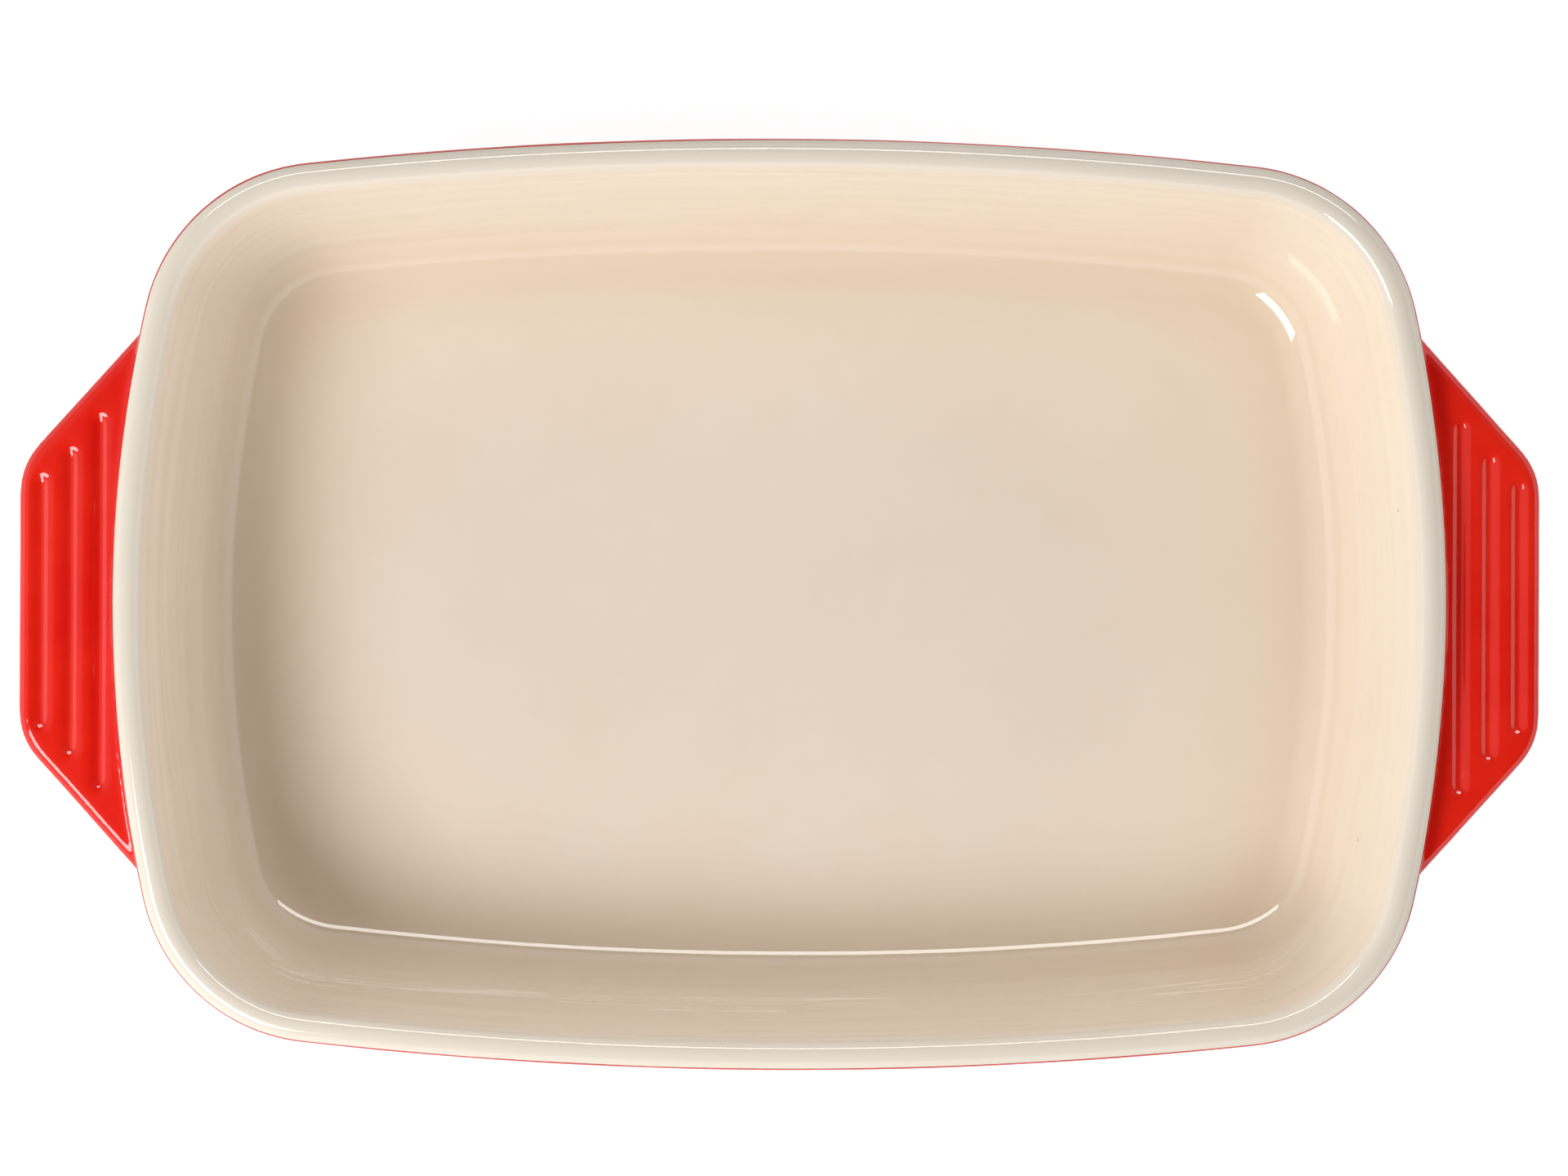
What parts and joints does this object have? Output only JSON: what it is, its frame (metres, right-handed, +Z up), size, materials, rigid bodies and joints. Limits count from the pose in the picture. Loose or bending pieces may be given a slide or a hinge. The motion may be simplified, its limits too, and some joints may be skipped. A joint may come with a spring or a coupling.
{
  "type": "lasagna dish",
  "caption": "Deep rectangular stoneware baking dish with drafted walls, a rounded rim, a foot ring and a grooved tab handle at each short end.",
  "frame": {"origin": "on the table under the middle of the dish, level with the underside of the foot ring", "axes": "+X along the dish through both handles, +Y across it, +Z up out of the dish"},
  "size_m": [0.4222, 0.2574, 0.075],
  "materials": {
    "bare_stoneware": "matte",
    "cream_glaze": "gloss",
    "red_glaze": "gloss"
  },
  "bodies": {
    "root": {"stoneware_body": "bare_stoneware", "right_handle": "bare_stoneware", "left_handle": "bare_stoneware", "cream_glaze": "cream_glaze", "red_glaze": "red_glaze", "base_glaze": "red_glaze"}
  },
  "joints": []
}
